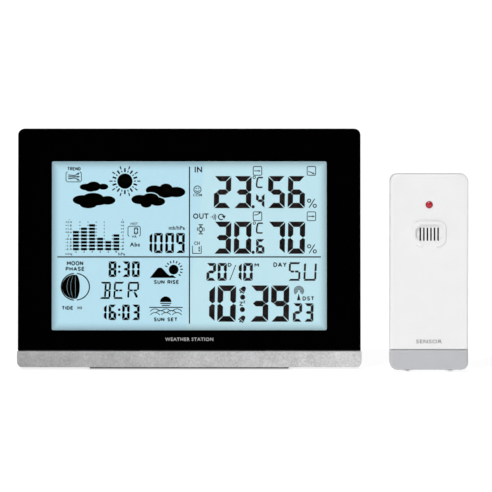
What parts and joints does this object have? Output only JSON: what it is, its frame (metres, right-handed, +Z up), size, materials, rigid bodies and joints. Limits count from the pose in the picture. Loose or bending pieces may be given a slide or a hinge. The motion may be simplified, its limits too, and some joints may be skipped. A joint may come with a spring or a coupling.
{
  "type": "home weather station",
  "caption": "Desk weather station with a wide display on a plug-in table stand, a row of rear keys on each side of its battery door, and a small battery-powered outdoor sensor.",
  "frame": {"origin": "on the table, on the underside of the pad under the display unit's stand, midway between the unit's sides", "axes": "+X to the viewer's right along the display's width, towards the outdoor sensor; +Y from the display's face to its back; +Z up"},
  "size_m": [0.2715, 0.0828, 0.145],
  "materials": {
    "piano_black": "piano black, mirror gloss",
    "clear_window": "clear polished acrylic",
    "lcd_glass": "back-lit pale blue liquid crystal display with dark segments",
    "milky_plastic": "translucent white",
    "silver_paint": "silver metallic paint with a fine speckle",
    "black_plastic": "fine spark texture",
    "white_plastic": "smooth satin",
    "grey_plastic": "smooth satin",
    "rubber": "matt",
    "circuit_board": "green solder mask",
    "ferrite": "dull sintered",
    "copper_wire": "lacquered copper",
    "steel": "nickel-plated",
    "cell_skin": "printed foil sleeve, plain",
    "red_lens": "polished translucent red"
  },
  "bodies": {
    "display_unit": {"front_bezel": "piano_black", "display_window": "clear_window", "lcd_panel": "lcd_glass", "lcd_frame": "milky_plastic", "backlight_panel": "milky_plastic", "zebra_strip_upper": "rubber", "zebra_strip_lower": "rubber", "main_board": "circuit_board", "receiver_board": "circuit_board", "ferrite_rod": "ferrite", "antenna_coil": "copper_wire", "buzzer": "black_plastic", "indoor_probe": "white_plastic", "dc_socket": "black_plastic", "base_bar": "silver_paint", "back_cover": "silver_paint", "cover_screw_1": "steel", "cover_screw_2": "steel", "cover_screw_3": "steel", "cover_screw_4": "steel", "battery_cell_1": "cell_skin", "battery_cell_2": "cell_skin", "battery_cell_3": "cell_skin", "battery_contact_1": "steel", "battery_contact_2": "steel", "battery_contact_3": "steel", "battery_contact_4": "steel"},
    "stand": {"table_stand": "black_plastic", "stand_pad": "rubber"},
    "door": {"battery_door": "silver_paint"},
    "snooze": {"snooze_bar": "silver_paint"},
    "mode_key": {"key_mode": "black_plastic"},
    "alarm_key": {"key_alarm": "black_plastic"},
    "plus_key": {"key_plus": "black_plastic"},
    "minus_key": {"key_minus": "black_plastic"},
    "channel_key": {"key_channel": "black_plastic"},
    "history_key": {"key_history": "black_plastic"},
    "units_key": {"key_units": "black_plastic"},
    "city_key": {"key_city": "black_plastic"},
    "outdoor_sensor": {"sensor_front_shell": "white_plastic", "sensor_lower_cap": "grey_plastic", "sensor_led_lens": "red_lens", "sensor_seal": "rubber", "sensor_board": "circuit_board", "sensor_probe": "white_plastic", "sensor_antenna": "copper_wire", "sensor_back_shell": "white_plastic", "sensor_screw_1": "steel", "sensor_screw_2": "steel", "sensor_cell_1": "cell_skin", "sensor_cell_2": "cell_skin", "sensor_contact_minus": "steel", "sensor_contact_plus": "steel", "sensor_contact_bridge": "steel"},
    "sensor_door": {"sensor_battery_door": "white_plastic"},
    "sensor_switch": {"channel_slider": "black_plastic"},
    "sensor_reset": {"reset_button": "black_plastic"},
    "sensor_foot": {"sensor_stand": "white_plastic"}
  },
  "joints": [
    {"name": "stand_pull_off", "type": "slide", "parent": "display_unit", "child": "stand", "axis": [0, -0.1045, -0.9945], "range_m": [0, 0.016]},
    {"name": "battery_door_hinge", "type": "hinge", "parent": "display_unit", "child": "door", "pos_m": [0, 0.00148, 0.04219], "axis": [-1, 0, 0], "range_deg": [0, 60]},
    {"name": "snooze_press", "type": "slide", "parent": "display_unit", "child": "snooze", "axis": [0, -0.1045, -0.9945], "range_m": [0, 0.0007], "stiffness_N_per_m": 2000, "springref_m": -0.0003},
    {"name": "mode_press", "type": "slide", "parent": "display_unit", "child": "mode_key", "axis": [0, -0.9945, 0.1045], "range_m": [0, 0.0007], "stiffness_N_per_m": 2000, "springref_m": -0.0003},
    {"name": "alarm_press", "type": "slide", "parent": "display_unit", "child": "alarm_key", "axis": [0, -0.9945, 0.1045], "range_m": [0, 0.0007], "stiffness_N_per_m": 2000, "springref_m": -0.0003},
    {"name": "plus_press", "type": "slide", "parent": "display_unit", "child": "plus_key", "axis": [0, -0.9945, 0.1045], "range_m": [0, 0.0007], "stiffness_N_per_m": 2000, "springref_m": -0.0003},
    {"name": "minus_press", "type": "slide", "parent": "display_unit", "child": "minus_key", "axis": [0, -0.9945, 0.1045], "range_m": [0, 0.0007], "stiffness_N_per_m": 2000, "springref_m": -0.0003},
    {"name": "channel_press", "type": "slide", "parent": "display_unit", "child": "channel_key", "axis": [0, -0.9945, 0.1045], "range_m": [0, 0.0007], "stiffness_N_per_m": 2000, "springref_m": -0.0003},
    {"name": "history_press", "type": "slide", "parent": "display_unit", "child": "history_key", "axis": [0, -0.9945, 0.1045], "range_m": [0, 0.0007], "stiffness_N_per_m": 2000, "springref_m": -0.0003},
    {"name": "units_press", "type": "slide", "parent": "display_unit", "child": "units_key", "axis": [0, -0.9945, 0.1045], "range_m": [0, 0.0007], "stiffness_N_per_m": 2000, "springref_m": -0.0003},
    {"name": "city_press", "type": "slide", "parent": "display_unit", "child": "city_key", "axis": [0, -0.9945, 0.1045], "range_m": [0, 0.0007], "stiffness_N_per_m": 2000, "springref_m": -0.0003},
    {"name": "sensor_lift", "type": "slide", "parent": "display_unit", "child": "outdoor_sensor", "axis": [0, 0, 1], "range_m": [0, 0.13]},
    {"name": "sensor_door_pull_off", "type": "slide", "parent": "outdoor_sensor", "child": "sensor_door", "axis": [0, 1, 0], "range_m": [0, 0.02]},
    {"name": "channel_slide", "type": "slide", "parent": "outdoor_sensor", "child": "sensor_switch", "axis": [1, 0, 0], "range_m": [0, 0.004]},
    {"name": "reset_press", "type": "slide", "parent": "outdoor_sensor", "child": "sensor_reset", "axis": [0, -1, 0], "range_m": [0, 0.0004], "stiffness_N_per_m": 2000, "springref_m": -0.0003},
    {"name": "sensor_stand_pull_off", "type": "slide", "parent": "outdoor_sensor", "child": "sensor_foot", "axis": [0, 0, -1], "range_m": [0, 0.008]}
  ]
}
